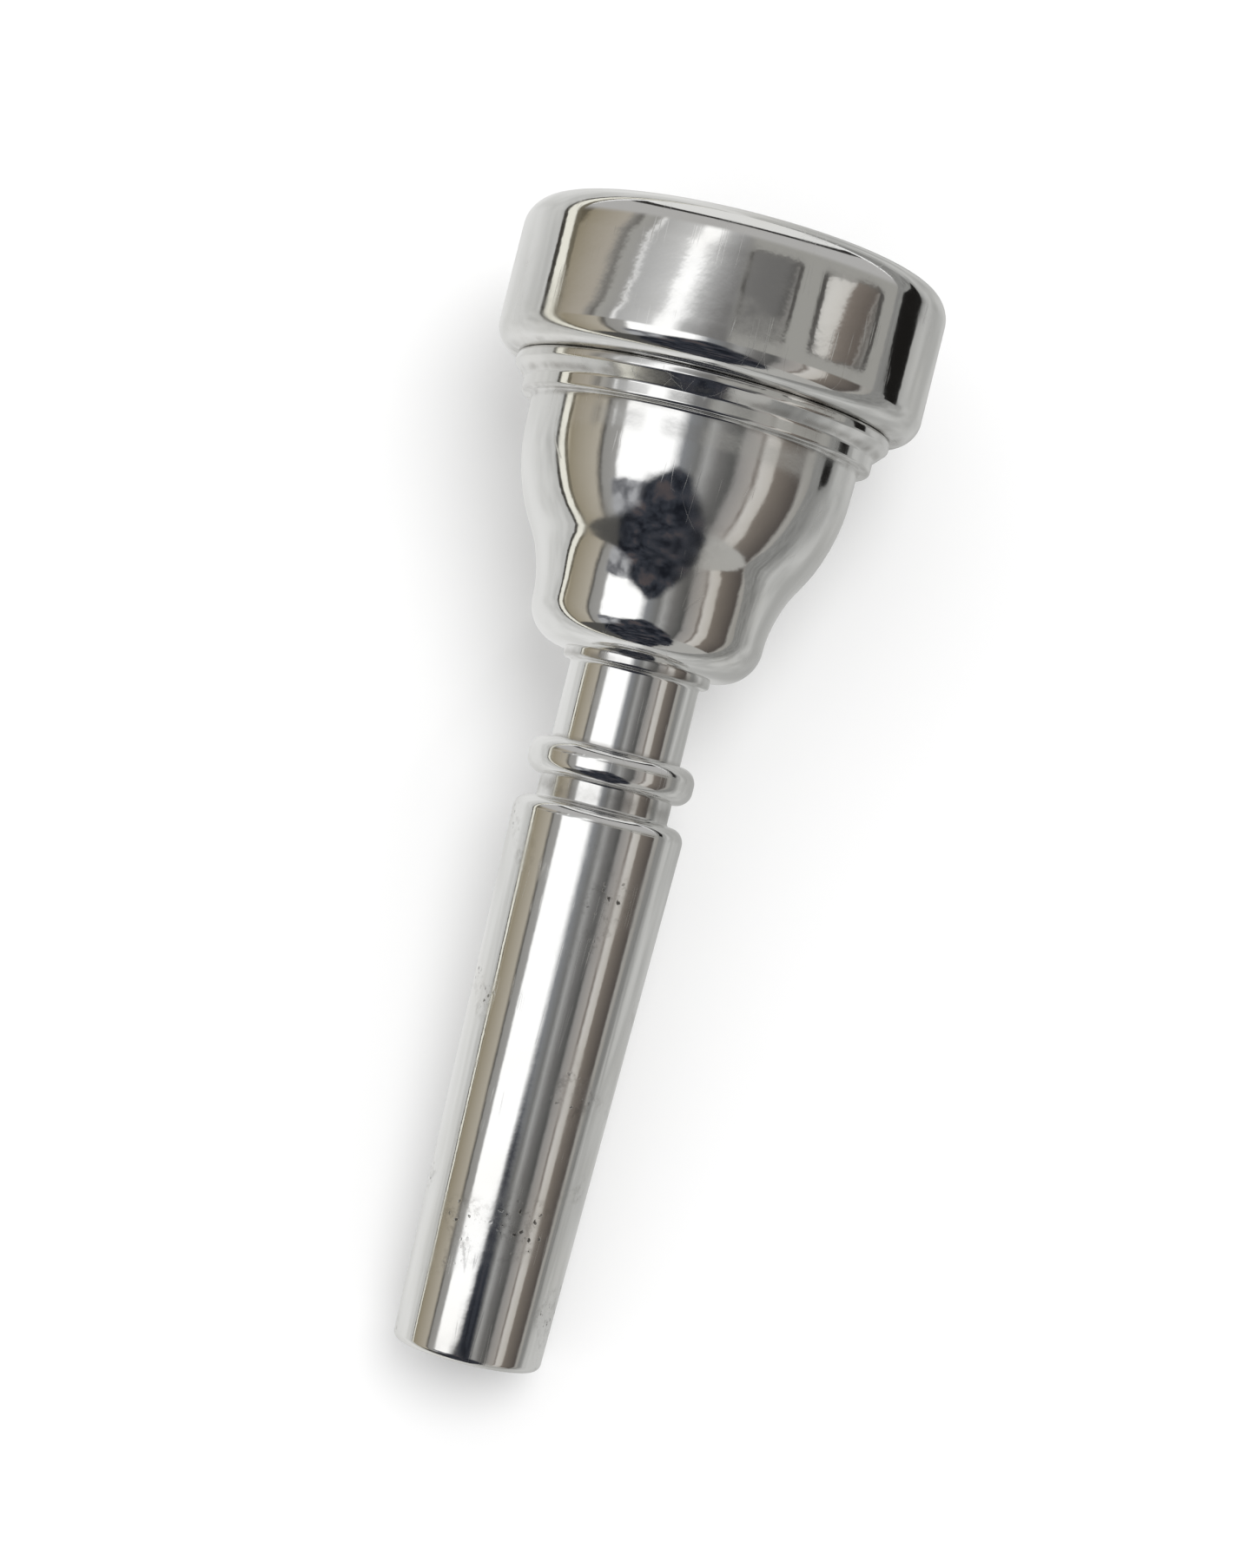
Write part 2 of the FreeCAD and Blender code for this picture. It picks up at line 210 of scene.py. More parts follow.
def new_finish(name):
    material = bpy.data.materials.new(name)
    material.use_nodes = True
    tree = material.node_tree
    tree.nodes.clear()
    return material, tree


def surface_of(tree, colour, roughness, height, metallic):
    """The finish's surface, with its height in millimetres."""
    bump = add(tree, "Bump", {"Strength": 1.0, "Distance": MM, "Height": height})
    shader = add(tree, "BsdfPrincipled", {"Metallic": metallic, "Base Color": colour,
                                          "Roughness": roughness, "Normal": bump})
    add(tree, "OutputMaterial", {"Surface": shader})


def along_bore(tree):
    """Object coordinates in millimetres, and the station along the bore."""
    place = add(tree, "TexCoord").outputs["Object"]
    millimetres = add(tree, "VectorMath", {0: place, "Scale": 1 / MM}, operation="SCALE")
    split = add(tree, "SeparateXYZ", (millimetres,))
    along = add(tree, "Math", (split.outputs["Y"], CROWN / MM), operation="SUBTRACT")
    return millimetres, along


def hairlines(tree, place, turn, spacing, length, width):
    """Fine straight scratches, one family in the direction given by turn (degrees)."""
    aligned = add(tree, "Mapping", {"Vector": place, "Rotation": [math.radians(angle) for angle in turn],
                                    "Scale": (1 / spacing, 1 / length, 1 / spacing)})
    cells = add(tree, "TexVoronoi", {"Vector": aligned, "Scale": 1.0}, feature="DISTANCE_TO_EDGE")
    return add(tree, "MapRange", (cells, 0.0, width / spacing, 1.0, 0.0), **SMOOTH)


def recess_bands(tree, along, places):
    """One where the surface dips between raised rings, nought elsewhere."""
    total = 0.0
    for middle, reach in places:
        offset = add(tree, "Math", (along, middle), operation="SUBTRACT")
        distance = add(tree, "Math", (offset,), operation="ABSOLUTE")
        band = add(tree, "MapRange", (distance, 0.0, reach, 1.0, 0.0), **SMOOTH)
        total = add(tree, "Math", (band, total), operation="MAXIMUM")
    return total


def silver_plate():
    """Silver over brass, buffed on the lathe: a mirror with haze, hairlines, a little tarnish and painted
    shade in its dips.
    """
    material, tree = new_finish("polished_silver_plate")
    place, along = along_bore(tree)

    # Noise: how many millimetres its patches are across, its detail and its roughness.
    grain = {}
    for name, size, detail, roughness in (
            ("clouds", 6.0, 4.0, 0.6), ("fine", 0.35, 3.0, 0.7), ("handling", 3.0, 2.0, 0.5),
            ("film", 1.6, 3.0, 0.5), ("ragged", 0.28, 2.0, 0.5), ("patches", 6.0, 1.0, 0.5),
            ("mottle", 0.8, 4.0, 0.7), ("warmth", 11.0, 3.0, 0.5), ("waves", 3.2, 1.0, 0.5),
            ("peel", 0.7, 2.0, 0.5)):
        grain[name] = add(tree, "TexNoise", {"Vector": place, "Scale": 1 / size,
                                             "Detail": detail, "Roughness": roughness})
    # Handling leaves cloudy patches, 5 to 10 mm across, on a mirror.
    haze = add(tree, "MapRange", (grain["clouds"], 0.42, 0.68), **SMOOTH)
    # Hairlines are about 0.01 mm wide. They are drawn up to 0.05 mm wide so that they show.
    one_way = hairlines(tree, place, (0, 0, 28), 1.9, 70.0, 0.025)
    other_way = hairlines(tree, place, (0, 20, -47), 2.6, 55.0, 0.025)
    scratches = add(tree, "Math", (one_way, other_way), operation="MAXIMUM")
    handled = add(tree, "MapRange", (grain["handling"], 0.52, 0.60), **SMOOTH)
    scratches = add(tree, "Math", (scratches, handled), operation="MULTIPLY")
    # Painted shade darkens the dips between raised rings, mixed with tarnish that gathers where a cloth
    # doesn't reach.
    dips = recess_bands(tree, along, (
        (SEAT, 0.35), (SEAT + 1.25, 0.35), (SEAT + 2.55, 0.4), (COLLAR_END - 0.2, 0.5), (NECK_END, 0.3),
        (RING_END + 0.7, 1.2)))
    uneven = add(tree, "MapRange", (grain["film"], 0.35, 0.65), **SMOOTH)
    depth = add(tree, "Math", (uneven, 0.3, 0.12), operation="MULTIPLY_ADD")
    tarnish_and_shade = add(tree, "Math", (dips, depth), operation="MULTIPLY")
    # Specks where the plating has worn and darkened, in a few clusters on the shank.
    cells = add(tree, "TexVoronoi", {"Vector": place, "Scale": 1 / 0.6, "Randomness": 1.0})
    specks = add(tree, "Math", (grain["ragged"], 0.9, cells), operation="MULTIPLY_ADD")
    spots = add(tree, "MapRange", (specks, 0.52, 0.66, 1.0, 0.0), **SMOOTH)
    clusters = add(tree, "MapRange", (grain["patches"], 0.60, 0.68), **SMOOTH)
    on_shank = add(tree, "MapRange", (along, RING_END, RING_END + 6.0), **SMOOTH)
    clusters = add(tree, "Math", (clusters, on_shank), operation="MULTIPLY")
    spots = add(tree, "Math", (spots, clusters), operation="MULTIPLY")
    # Fingers leave smudges, stronger on the shank.
    touched = add(tree, "MapRange", (grain["patches"], 0.56, 0.66), **SMOOTH)
    mottled = add(tree, "MapRange", (grain["mottle"], 0.48, 0.66), **SMOOTH)
    smudges = add(tree, "Math", (touched, mottled), operation="MULTIPLY")
    strength = add(tree, "MapRange", (along, RING_END, RING_END + 6.0, 0.05, 0.28), **SMOOTH)
    smudges = add(tree, "Math", (smudges, strength), operation="MULTIPLY")
    marks = add(tree, "Math", (spots, smudges), operation="ADD")

    warm = add(tree, "MapRange", (grain["warmth"], 0.45, 0.75, 0.0, 0.35), **SMOOTH)
    darkest = add(tree, "Math", (spots, 0.8), operation="MULTIPLY")
    colour = "#F3F3F2"
    # The darkening in the dips is painted shade together with tarnish.
    for share, stain in ((warm, "#E6E3DC"), (tarnish_and_shade, "#5E564A"),
                         (smudges, "#7F7B74"), (darkest, "#3A3631")):
        colour = add(tree, "Mix", {0: share, 6: colour, 7: stain}, **RGBA)
    roughness = add(tree, "MapRange", (haze, 0.0, 1.0, 0.05, 0.13), **SMOOTH)
    for amount, dulling in ((grain["fine"], 0.03), (scratches, 0.18), (tarnish_and_shade, 0.25), (marks, 0.2)):
        roughness = add(tree, "Math", (amount, dulling, roughness), operation="MULTIPLY_ADD")
    # Buffing leaves the surface a few microns wavy, and scratches and specks are dents in it.
    height = 0.0
    for amount, rise in ((grain["waves"], 0.010), (scratches, -0.0006), (spots, -0.01),
                         (grain["peel"], 0.0022), (grain["fine"], 0.0004)):
        height = add(tree, "Math", (amount, rise, height), operation="MULTIPLY_ADD")
    surface_of(tree, colour, roughness, height, metallic=1.0)
    return material


def turned_metal(name, bright, dull, roughness, feed):
    """Metal left as the tool cut it: rings as far apart as the feed, in mm, round the bore."""
    material, tree = new_finish(name)
    place, along = along_bore(tree)
    cloudy = add(tree, "TexNoise", {"Vector": place, "Scale": 1 / 2.5, "Detail": 5.0, "Roughness": 0.65})
    stain = add(tree, "MapRange", (cloudy, 0.35, 0.7), **SMOOTH)
    colour = add(tree, "Mix", {0: stain, 6: bright, 7: dull}, **RGBA)
    rough = add(tree, "MapRange", (stain, 0.0, 1.0, roughness, roughness + 0.15), **SMOOTH)
    turns = add(tree, "Math", (along, 2 * math.pi / feed), operation="MULTIPLY")
    rings = add(tree, "Math", (turns,), operation="SINE")
    tears = add(tree, "TexNoise", {"Vector": place, "Scale": 1 / 0.4, "Detail": 2.0, "Roughness": 0.5})
    height = add(tree, "Math", (rings, tears), operation="ADD")
    height = add(tree, "Math", (height, 0.004), operation="MULTIPLY")
    surface_of(tree, colour, rough, height, metallic=1.0)
    return material


def bore_silver():
    """The throat and backbore are reamed, plated thinly and never polished."""
    return turned_metal("reamed_silver_bore", "#C9C3B6", "#857C6C", roughness=0.22, feed=0.3)


def bare_brass():
    """Threads and seats are turned after plating, so the brass shows."""
    return turned_metal("turned_bare_brass", "#E3C27C", "#B08A45", roughness=0.18, feed=0.15)


def seal_rubber():
    """Moulded nitrile rubber: black, with a dull sheen from silicone grease."""
    material, tree = new_finish("nitrile_rubber")
    place, _ = along_bore(tree)
    film = add(tree, "TexNoise", {"Vector": place, "Scale": 1 / 1.2, "Detail": 3.0, "Roughness": 0.5})
    greasy = add(tree, "MapRange", (film, 0.4, 0.65), **SMOOTH)
    colour = add(tree, "Mix", {0: greasy, 6: "#232324", 7: "#141415"}, **RGBA)
    roughness = add(tree, "MapRange", (greasy, 0.0, 1.0, 0.62, 0.38), **SMOOTH)
    mould = add(tree, "TexNoise", {"Vector": place, "Scale": 1 / 0.15, "Detail": 2.0, "Roughness": 0.5})
    height = add(tree, "Math", (mould, 0.01), operation="MULTIPLY")
    surface_of(tree, colour, roughness, height, metallic=0.0)
    return material


METALS = [silver_plate(), bore_silver(), bare_brass()]
PLATE, BORE, BRASS = range(3)
rubber = seal_rubber()


# ---------------------------------------------------------------- pieces

def make_rim():
    corners = [
        (BOWL_RADIUS, 0, RIM_INNER_ROUND), (RIM_RADIUS, 0, RIM_OUTER_ROUND),
        (RIM_RADIUS, SEAT, RIM_UNDER_ROUND), (LAND_RADIUS + LAND_FIT, SEAT, 0),
        (LAND_RADIUS + LAND_FIT, RIM_GLAND_END, 0), (LAND_RADIUS + RIM_GLAND_DEPTH, RIM_GLAND_END, 0),
        (LAND_RADIUS + RIM_GLAND_DEPTH, LAND_START, 0), (RIM_BORE_RADIUS, LAND_START, 0),
        (RIM_BORE_RADIUS, LEDGE_RELIEF, 0), (LAND_RADIUS, LEDGE_RELIEF, 0),
        (LAND_RADIUS, LEDGE, 0), (BOWL_RADIUS, LEDGE, 0),
    ]

    def finish_at(radius, along):
        return BRASS if radius < LAND_RADIUS + 1.1 and LEDGE < along < SEAT else PLATE
    threads = [(RIM_BORE_RADIUS, 10.83, RIM_PITCH, LEDGE + 1.45, SEAT - 2.5)]
    return turned("rim_body", corners, finish_at, threads)


def make_cup():
    corners = [
        (BOWL_RADIUS, SPIGOT_END, 0), (SPIGOT_RADIUS, SPIGOT_END, 0), (SPIGOT_RADIUS, LAND_START, 0),
        (LAND_RADIUS, LAND_START, CHAMFER), (LAND_RADIUS, SEAT, 0),
        (BEAD_RADIUS, SEAT, EDGE_ROUND), (BEAD_RADIUS, SEAT + 0.65, EDGE_ROUND),
        (LOWER_BEAD_RADIUS, SEAT + 1.5, EDGE_ROUND), (LOWER_BEAD_RADIUS, LOWER_BEAD_END, EDGE_ROUND),
        (10.88, LOWER_BEAD_END, EDGE_ROUND), (10.7, 17.85, 11.0),
        (KNOB_RADIUS, 22.97, 7.7), (KNOB_RADIUS, KNOB_END, 2.7),
        (COLLAR_RADIUS, KNOB_END, 0), (COLLAR_RADIUS, COLLAR_END, EDGE_ROUND),
        (NECK_RADIUS, COLLAR_END, EDGE_ROUND), (NECK_RADIUS, NECK_END, 0),
        (NECK_BORE_RADIUS, NECK_END, 0), (NECK_BORE_RADIUS, NECK_BORE_START, 0),
        (SOCKET_RADIUS, NECK_BORE_START, 0), (SOCKET_RADIUS, SOCKET_RELIEF, 0),
        (SOCKET_RELIEF_RADIUS, SOCKET_RELIEF, 0), (SOCKET_RELIEF_RADIUS, SOCKET_FLOOR, 0),
        (THROAT_RADIUS, SOCKET_FLOOR, 0), (THROAT_RADIUS, 18.5, 2.0), (8.2, 10.0, 6.0),
    ]

    def finish_at(radius, along):
        on_spigot = along < SEAT - 0.01 and radius > BOWL_RADIUS + 0.1
        in_neck = along > SOCKET_FLOOR + 0.01 and radius < 3.8
        if on_spigot or in_neck:
            return BRASS
        return BORE if radius < THROAT_RADIUS + 0.3 else PLATE
    threads = [(SPIGOT_RADIUS, 11.2, RIM_PITCH, SPIGOT_END + 0.85, SEAT - 2.6),
               (SOCKET_RADIUS, 3.14, SHANK_PITCH, 28.2, SHANK_THREAD_END)]
    return turned("cup_body", corners, finish_at, threads)


def make_shank():
    corners = [
        (THROAT_RADIUS, TENON_END, 0), (TENON_RADIUS, TENON_END, 0), (TENON_RADIUS, FIT_START, 0),
        (FIT_RADIUS, FIT_START, CHAMFER), (FIT_RADIUS, SHANK_GLAND_START, 0),
        (SHANK_GLAND_RADIUS, SHANK_GLAND_START, 0), (SHANK_GLAND_RADIUS, SHANK_GLAND_END, 0),
        (FIT_RADIUS, SHANK_GLAND_END, 0), (FIT_RADIUS, NECK_END, 0),
        (RING_RADIUS, NECK_END, RING_ROUND), (RING_RADIUS, RING_END, RING_ROUND),
        (GROOVE_RADIUS, RING_END, 0), (GROOVE_RADIUS, SHOULDER, 0.2), (SHANK_RADIUS, SHOULDER, 1.0),
        (TIP_RADIUS, TIP, TIP_ROUND), (4.05, TIP, 0), (3.25, 52.0, 0),
    ]

    def finish_at(radius, along):
        if along < NECK_END and radius > 2.6:
            return BRASS
        return BORE if radius < 4.06 and along > TENON_END else PLATE
    threads = [(TENON_RADIUS, 3.4, SHANK_PITCH, TENON_END + 0.5, SHANK_THREAD_END)]
    return turned("shank_body", corners, finish_at, threads)


for make, node in ((make_rim, "rim"), (make_cup, "cup"), (make_shank, "shank")):
    piece = make()
    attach(piece, node)
    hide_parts(node)
for node in ("rim_seal", "shank_seal"):
    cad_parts[node].data.materials.clear()
    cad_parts[node].data.materials.append(rubber)


# ---------------------------------------------------------------- table, light and camera

TABLE_RADIUS = 1.2       # m
ROOM_REACH = 0.5         # m, how far away the shades hang
ROOM_LENGTH = 1.1        # m, to each side along the bore
ROOM_EDGE = 96           # degrees, just below the table's edge
RIM_VIEW = -0.1225       # m along the bore, the part of the room that the rim's side mirrors
SQUARE = ((-1, -1), (1, -1), (1, 1), (-1, 1))


def lay_table():
    """The table touches the rounded lower edge of the rim and the rounded tip of the shank."""
    rise = (RIM_RADIUS - RIM_UNDER_ROUND) - (TIP_RADIUS - TIP_ROUND)
    run = (TIP - TIP_ROUND) - (SEAT - RIM_UNDER_ROUND)
    slope = math.atan2(rise, run) + math.asin((RIM_UNDER_ROUND - TIP_ROUND) / math.hypot(rise, run))
    up = Vector((0, -math.sin(slope), math.cos(slope)))
    centre = Vector((0, CROWN + (SEAT - RIM_UNDER_ROUND) * MM,
                     BORE_HEIGHT - (RIM_RADIUS - RIM_UNDER_ROUND) * MM))
    touch = centre - up * RIM_UNDER_ROUND * MM
    bm = bmesh.new()
    bmesh.ops.create_circle(bm, cap_ends=True, radius=TABLE_RADIUS, segments=96)
    bmesh.ops.rotate(bm, verts=bm.verts, matrix=Matrix.Rotation(slope, 3, "X"))
    bmesh.ops.translate(bm, verts=bm.verts, vec=touch)
    material, tree = new_finish("white_paper")
    shader = add(tree, "BsdfPrincipled", {"Roughness": 0.8, "Base Color": "#F2F2F2"})
    add(tree, "OutputMaterial", {"Surface": shader})
    table = show("table", bm, [material])
    return touch, slope


def aim_camera():
    """Straight down on the bore, rolled so that the rim is to the upper right."""
    data = bpy.data.cameras.new("camera")
    data.lens = 74.75
    data.sensor_width = 36
    data.clip_start = 0.01
    camera = bpy.data.objects.new("camera", data)
    bpy.context.scene.collection.objects.link(camera)
    place = Vector((-1.24 * MM, 4.1 * MM, BORE_HEIGHT + 211 * MM))
    target = Vector((-1.24 * MM, -1.3 * MM, BORE_HEIGHT))
    roll = math.radians(13.98)
    ahead = (target - place).normalized()
    right = ahead.cross(Vector((math.sin(roll), -math.cos(roll), 0))).normalized()
    above = right.cross(ahead)
    turn = Matrix((right, above, -ahead)).transposed()
    camera.matrix_world = Matrix.Translation(place) @ turn.to_4x4()
    bpy.context.scene.camera = camera


# Shades of the room that the plating mirrors: degrees from straight up, towards the
# left or right side of the mouthpiece, and the shade there.
ROOM = (
    (-96, "#5B5548"), (-93, "#B4AD9C"), (-88, "#8A8270"), (-66, "#A59F93"), (-62, "#4E4C49"),
    (-60, "#8B8A87"), (-50, "#949391"), (-47, "#FFFFFF"), (-12, "#FFFFFF"), (-4, "#7E8083"),
    (6, "#6C6C6B"), (12, "#989897"), (20, "#6B6A69"), (31, "#4E4E4D"), (35, "#8A8886"),
    (45, "#9B9793"), (47, "#6B645E"), (50, "#BEBBB7"), (59, "#B3AFA9"), (61, "#746D66"),
    (82, "#4D4845"), (85, "#9A9894"), (96, "#86847F"),
)
# The same past the rim, where the wall hides the window's end.
ROOM_PAST_RIM = (
    (-96, "#5B5548"), (-93, "#8A8270"), (-70, "#A29C92"), (-66, "#84827E"), (-63, "#63615E"),
    (-60, "#9A9995"), (-52, "#8E8D8B"), (-50, "#EDEDED"), (-48, "#A5A5A5"), (-34, "#B9B9B9"),
    (-29, "#C6C6C6"), (-26, "#FFFFFF"), (-18, "#FFFFFF"), (-12, "#A8A8A8"), (2, "#706F6E"),
    (12, "#686766"), (27, "#646362"), (29, "#4A4948"), (34, "#8F8D8A"), (45, "#A4A19D"),
    (50, "#C9C7C3"), (61, "#C0BDB8"), (63, "#766E67"), (78, "#5A534E"), (79, "#A6A39E"),
    (80, "#4A4542"), (84, "#8E8C88"), (96, "#8A8883"),
)


def panel(tree, angle, along, middle, reach, power=4.0):
    """Under one inside a rounded panel that hangs in the room, one at its edge, more outside."""
    sides = []
    for place, centre, half in ((angle, middle[0], reach[0]), (along, middle[1], reach[1])):
        offset = add(tree, "Math", (place, centre), operation="SUBTRACT")
        share = add(tree, "Math", (offset, half), operation="DIVIDE")
        size = add(tree, "Math", (share,), operation="ABSOLUTE")
        sides.append(add(tree, "Math", (size, power), operation="POWER"))
    return add(tree, "Math", sides, operation="ADD")


def reflected_only(obj):
    """The camera and the table's own light don't see it: only polished metal does."""
    obj.visible_camera = False
    obj.visible_diffuse = False
    obj.visible_shadow = False


def hang_room():
    """A tent of those shades, seen only by reflections."""
    bm = bmesh.new()
    start = Matrix.Rotation(math.radians(ROOM_EDGE), 3, "Y") @ Vector((0, 0, ROOM_REACH))
    ends = [bm.verts.new((start.x, side * ROOM_LENGTH, BORE_HEIGHT + start.z)) for side in (-1, 1)]
    edge = bm.edges.new(ends)
    bmesh.ops.spin(bm, geom=[*ends, edge], cent=(0, 0, BORE_HEIGHT), axis=BORE_AXIS,
                   angle=math.radians(-2 * ROOM_EDGE), steps=ROOM_EDGE)
    for side in (-1, 1):
        bm.faces.new([bm.verts.new((x * ROOM_REACH, side * ROOM_LENGTH, BORE_HEIGHT + z * ROOM_REACH))
                      for x, z in SQUARE])
    material, tree = new_finish("room_shades")
    place = add(tree, "TexCoord").outputs["Object"]
    split = add(tree, "SeparateXYZ", (place,))
    along = split.outputs["Y"]
    height = add(tree, "Math", (split.outputs["Z"], BORE_HEIGHT), operation="SUBTRACT")
    side = add(tree, "Math", (split.outputs["X"], -1.0), operation="MULTIPLY")
    turn = add(tree, "Math", (side, height), operation="ARCTAN2")
    straight = add(tree, "Math", (turn, 180 / math.pi), operation="MULTIPLY")
    # Curtains and walls aren't quite straight.
    drift = add(tree, "TexNoise", {"Vector": place, "Scale": 1 / 0.16, "Detail": 3.0, "Roughness": 0.5})
    drift = add(tree, "Math", (drift, 0.5), operation="SUBTRACT")
    wander = add(tree, "Math", (drift, 5.0), operation="MULTIPLY")
    angle = add(tree, "Math", (straight, wander), operation="ADD")
    # The window leans a little, as it is seen from the rim.
    lean = add(tree, "MapRange", (along, RIM_VIEW - 0.03, RIM_VIEW + 0.03, -7.0, 7.0), **SMOOTH)
    leaning = add(tree, "Math", (angle, lean), operation="ADD")
    walls = []
    for degrees_across, shades in ((angle, ROOM), (leaning, ROOM_PAST_RIM)):
        share = add(tree, "MapRange", (degrees_across, -ROOM_EDGE, ROOM_EDGE))
        walls.append(add(tree, "ValToRGB", (share,)))
        stops = walls[-1].color_ramp.elements
        for _ in shades[2:]:
            stops.new(0.5)
        for stop, (degrees, shade) in zip(stops, shades):
            stop.position = (degrees + ROOM_EDGE) / (2 * ROOM_EDGE)
            stop.color = linear(shade)
    near_shade, far_shade = walls
    # Past the rim hang a dark framed panel and, further right, a bright one.
    plain = add(tree, "MapRange", (straight, 2.0, 8.0), **SMOOTH)
    wall = add(tree, "Mix", {0: plain, 6: far_shade, 7: "#94938F"}, **RGBA)
    for middle, reach in (((19.5, RIM_VIEW), (14.5, 0.0145)), ((65.0, RIM_VIEW), (19.5, 0.0165))):
        inside = panel(tree, straight, along, middle, reach)
        past_border = add(tree, "MapRange", (inside, 0.95, 1.2), **SMOOTH)
        bordered = add(tree, "Mix", {0: past_border, 6: "#454341", 7: wall}, **RGBA)
        past_opening = add(tree, "MapRange", (inside, 0.50, 0.58), **SMOOTH)
        wall = add(tree, "Mix", {0: past_opening, 6: far_shade, 7: bordered}, **RGBA)
    past_rim = add(tree, "MapRange", (along, -0.04, -0.085), **SMOOTH)
    shade = add(tree, "Mix", {0: past_rim, 6: near_shade, 7: wall}, **RGBA)
    # The window stops, and the ceiling past it is grey.
    window_end = add(tree, "Math", (wander, 0.008, along), operation="MULTIPLY_ADD")
    past_window = add(tree, "MapRange", (window_end, 0.165, 0.185), **SMOOTH)
    beside = add(tree, "Math", (angle, 30.0), operation="ADD")
    beside = add(tree, "Math", (beside,), operation="ABSOLUTE")
    overhead = add(tree, "MapRange", (beside, 20.0, 26.0, 1.0, 0.0), **SMOOTH)
    past_window = add(tree, "Math", (past_window, overhead), operation="MULTIPLY")
    stain = add(tree, "TexNoise", {"Vector": place, "Scale": 1 / 0.10, "Detail": 3.0, "Roughness": 0.5})
    stained = add(tree, "MapRange", (stain, 0.40, 0.65), **SMOOTH)
    ceiling = add(tree, "Mix", {0: stained, 6: "#A0A1A4", 7: "#5F6064"}, **RGBA)
    shade = add(tree, "Mix", {0: past_window, 6: shade, 7: ceiling}, **RGBA)
    # At the shank's end the walls close in, darker on the left.
    rightward = add(tree, "MapRange", (angle, 20.0, 45.0), **SMOOTH)
    end_wall = add(tree, "Mix", {0: rightward, 6: "#4A4947", 7: "#A3A29F"}, **RGBA)
    # Behind the rim the wall is paler, with a dark shelf across it.
    for first, last, beyond in ((0.40, 0.43, end_wall), (-0.15, -0.30, "#A9A8A7"),
                                (-0.66, -0.70, "#2F2E2D"), (-0.86, -0.90, "#D6D6D5")):
        passed = add(tree, "MapRange", (along, first, last), **SMOOTH)
        shade = add(tree, "Mix", {0: passed, 6: shade, 7: beyond}, **RGBA)
    # Dark cloth hangs at the shank's end, with a ragged outline.
    ragged = add(tree, "TexNoise", {"Vector": place, "Scale": 1 / 0.30, "Detail": 2.0, "Roughness": 0.4})
    ragged = add(tree, "Math", (ragged, 0.5), operation="SUBTRACT")
    outline = panel(tree, angle, along, (-7.0, 0.80), (47.0, 0.68), power=2.0)
    outline = add(tree, "Math", (ragged, 1.2, outline), operation="MULTIPLY_ADD")
    fold = add(tree, "TexNoise", {"Vector": place, "Scale": 1 / 0.13, "Detail": 4.0, "Roughness": 0.6})
    cloth = "#17191F"
    for first, last, raised in ((0.38, 0.56, "#34373E"), (0.52, 0.68, "#4C4647")):
        passed = add(tree, "MapRange", (fold, first, last), **SMOOTH)
        cloth = add(tree, "Mix", {0: passed, 6: cloth, 7: raised}, **RGBA)
    covered = add(tree, "MapRange", (outline, 0.86, 1.04, 1.0, 0.0), **SMOOTH)
    shade = add(tree, "Mix", {0: covered, 6: shade, 7: cloth}, **RGBA)
    glow = add(tree, "Emission", {"Strength": 1.15, "Color": shade})
    add(tree, "OutputMaterial", {"Surface": glow})
    reflected_only(show("room_tent", bm, [material]))


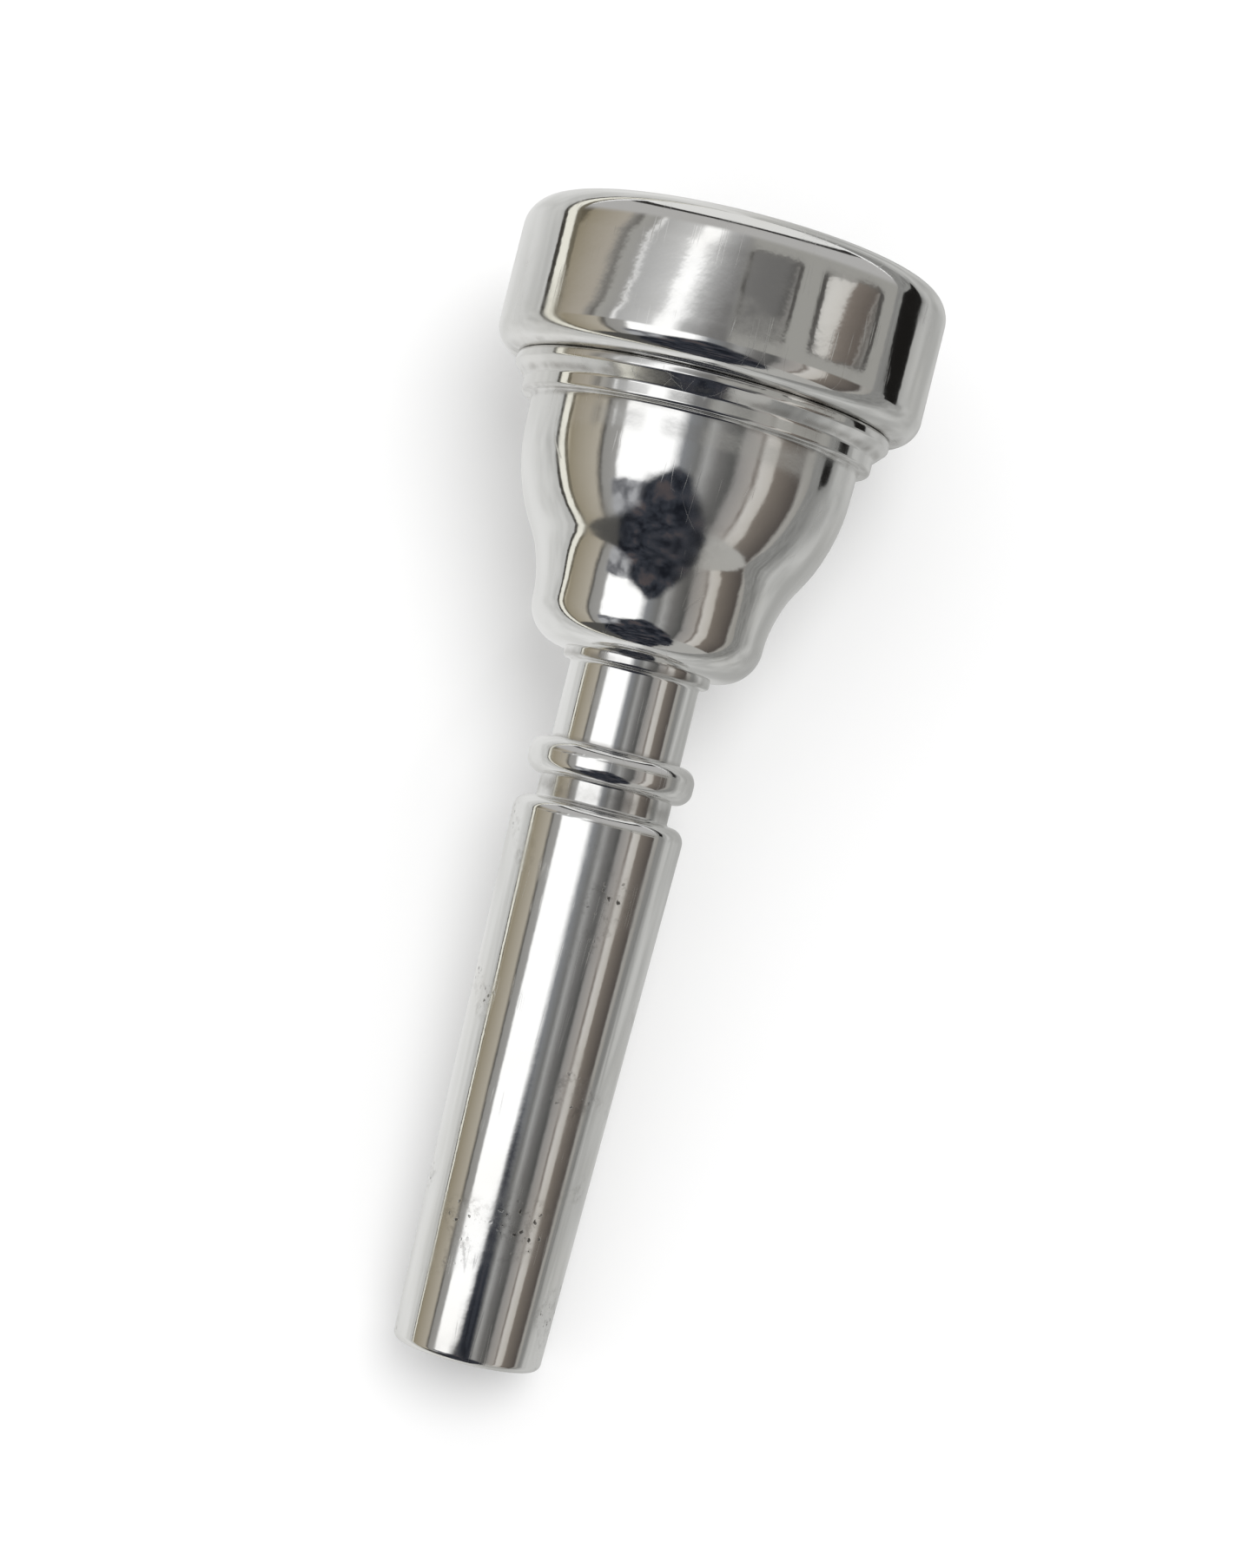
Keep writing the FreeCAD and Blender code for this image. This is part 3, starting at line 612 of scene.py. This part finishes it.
def mirrored_table(touch, slope):
    """What the plating mirrors of the table: bright on the left, in shade on the right."""
    material, tree = new_finish("table_shades")
    place = add(tree, "TexCoord").outputs["Object"]
    split = add(tree, "SeparateXYZ", (place,))
    side, along = split.outputs["X"], split.outputs["Y"]
    cloud = add(tree, "TexNoise", {"Vector": place, "Scale": 1 / 0.016, "Detail": 2.0, "Roughness": 0.5})
    cloudy = add(tree, "MapRange", (cloud, 0.3, 0.7), **SMOOTH)
    lit, lit_far, shade, shade_far = [
        add(tree, "Mix", {0: cloudy, 6: darker, 7: paler}, **RGBA)
        for darker, paler in (("#D6D6D4", "#E6E6E5"), ("#BBBBB9", "#CDCDCB"),
                              ("#A9A9A7", "#C6C6C4"), ("#7B7B79", "#939391"))]
    leftward = add(tree, "MapRange", (side, 0.010, 0.060), **SMOOTH)
    lit = add(tree, "Mix", {0: leftward, 6: lit, 7: lit_far}, **RGBA)
    # The table's left edge is a dark line, and the floor past it is pale.
    for first, last, beyond in ((-0.025, -0.08, shade_far), (-0.012, 0.012, lit), (0.082, 0.085, "#35322D"),
                                (0.104, 0.107, "#EFEDE2"), (0.200, 0.230, "#6B6557")):
        passed = add(tree, "MapRange", (side, first, last), **SMOOTH)
        shade = add(tree, "Mix", {0: passed, 6: shade, 7: beyond}, **RGBA)
    # On the right a dark wedge lies beside the rim.
    distance = add(tree, "Math", (side, -1.0), operation="MULTIPLY")
    wedge = add(tree, "MapRange", (distance, 0.055, 0.057), **SMOOTH)
    outer = add(tree, "MapRange", (along, -0.030, -0.070, 0.100, 0.175), **SMOOTH)
    past_outer = add(tree, "Math", (distance, outer), operation="SUBTRACT")
    off_middle = add(tree, "Math", (along, 0.050), operation="ADD")
    off_middle = add(tree, "Math", (off_middle,), operation="ABSOLUTE")
    for beyond, first, last in ((past_outer, 0.0, 0.004), (off_middle, 0.0225, 0.0235)):
        within = add(tree, "MapRange", (beyond, first, last, 1.0, 0.0), **SMOOTH)
        wedge = add(tree, "Math", (wedge, within), operation="MULTIPLY")
    shade = add(tree, "Mix", {0: wedge, 6: shade, 7: "#1B1A19"}, **RGBA)
    glow = add(tree, "Emission", {"Strength": 1.0, "Color": shade})
    add(tree, "OutputMaterial", {"Surface": glow})
    bm = bmesh.new()
    bm.faces.new([bm.verts.new((x * ROOM_REACH, y * ROOM_LENGTH, 0)) for x, y in SQUARE])
    bmesh.ops.rotate(bm, verts=bm.verts, matrix=Matrix.Rotation(slope, 3, "X"))
    bmesh.ops.translate(bm, verts=bm.verts, vec=touch + Vector((0, 0, 0.02 * MM)))
    reflected_only(show("table_in_metal", bm, [material]))


def light_room():
    """Even white light from all round, and a large soft lamp a little to one side of overhead."""
    world = bpy.data.worlds.new("room")
    world.use_nodes = True
    world.node_tree.nodes["Background"].inputs["Color"].default_value = linear("#FFFFFF")
    world.node_tree.nodes["Background"].inputs["Strength"].default_value = 0.9
    bpy.context.scene.world = world
    lamp = bpy.data.lights.new("overhead_lamp", "SUN")
    lamp.angle = math.radians(32)
    lamp.energy = 1.1
    overhead = bpy.data.objects.new("overhead_lamp", lamp)
    bpy.context.scene.collection.objects.link(overhead)
    overhead.rotation_euler = Vector((0.10, 0.20, -0.55)).to_track_quat("-Z", "Y").to_euler()
    # The plating mirrors the room instead of the lamp.
    overhead.visible_glossy = False
    bpy.context.scene.view_settings.view_transform = "Standard"


touch, slope = lay_table()
hang_room()
mirrored_table(touch, slope)
light_room()
aim_camera()
